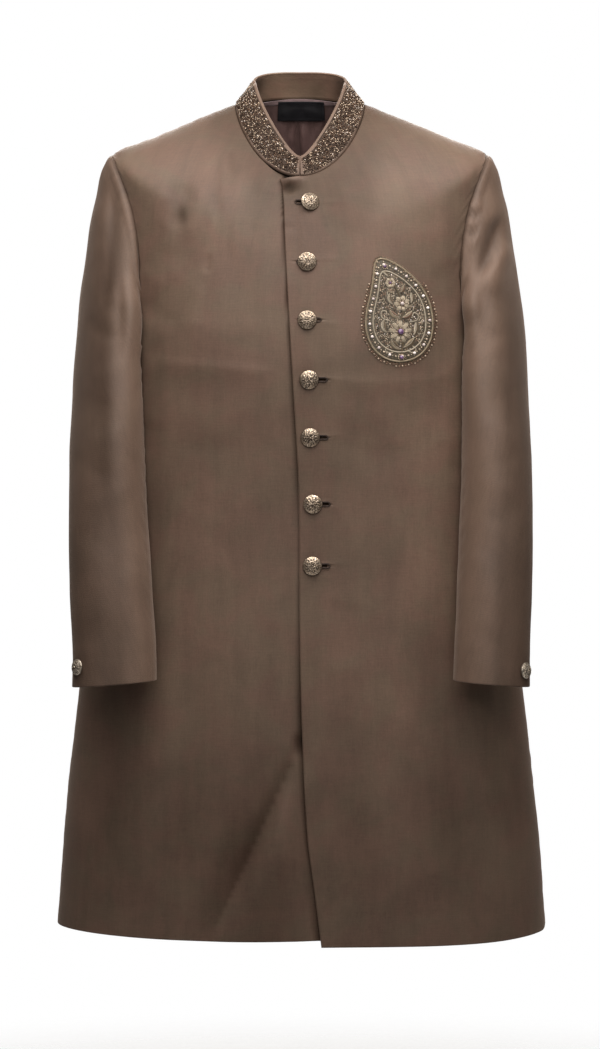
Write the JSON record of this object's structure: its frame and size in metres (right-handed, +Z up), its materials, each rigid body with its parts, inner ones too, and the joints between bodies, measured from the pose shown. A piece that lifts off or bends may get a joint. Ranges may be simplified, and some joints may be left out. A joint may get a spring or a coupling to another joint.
{
  "type": "sherwani coat",
  "caption": "Long fitted sherwani coat with beaded stand collar, buttoned front lap, set-in sleeves and an embroidered chest patch, filled out as worn.",
  "frame": {"origin": "midway between the two shoulder seams at the neck, over the side seams, where the wearer's neck base and shoulders carry the coat", "axes": "+Z up along the wearer's spine, the coat's front faces -Y, +X is the wearer's left"},
  "size_m": [0.5834, 0.2919, 1.039],
  "materials": {
    "front_right": "soft satin-faced wool suiting, taupe brown",
    "front_left": "soft satin-faced wool suiting, taupe brown",
    "back": "soft satin-faced wool suiting, taupe brown",
    "sleeve_right_top": "soft satin-faced wool suiting, taupe brown",
    "sleeve_right_under": "soft satin-faced wool suiting, taupe brown",
    "sleeve_left_top": "soft satin-faced wool suiting, taupe brown",
    "sleeve_left_under": "soft satin-faced wool suiting, taupe brown",
    "collar": "soft satin-faced wool suiting, taupe brown",
    "collar_beading": "dense pale gold and copper beadwork on brown cloth",
    "neck_lining": "mauve-brown satin lining",
    "neck_label": "black woven satin, bare",
    "chest_motif": "pale gold thread and bead embroidery",
    "button_1": "antiqued pale gold metal, embossed",
    "button_2": "antiqued pale gold metal, embossed",
    "button_3": "antiqued pale gold metal, embossed",
    "button_4": "antiqued pale gold metal, embossed",
    "button_5": "antiqued pale gold metal, embossed",
    "button_6": "antiqued pale gold metal, embossed",
    "button_7": "antiqued pale gold metal, embossed",
    "cuff_button_right": "antiqued pale gold metal, embossed",
    "cuff_button_left": "antiqued pale gold metal, embossed"
  },
  "bodies": {
    "root": {"front_right": "front_right", "front_left": "front_left", "back": "back", "sleeve_right_top": "sleeve_right_top", "sleeve_right_under": "sleeve_right_under", "sleeve_left_top": "sleeve_left_top", "sleeve_left_under": "sleeve_left_under", "collar": "collar", "collar_beading": "collar_beading", "neck_lining": "neck_lining", "neck_label": "neck_label", "chest_motif": "chest_motif", "button_1": "button_1", "button_2": "button_2", "button_3": "button_3", "button_4": "button_4", "button_5": "button_5", "button_6": "button_6", "button_7": "button_7", "cuff_button_right": "cuff_button_right", "cuff_button_left": "cuff_button_left"}
  },
  "joints": []
}
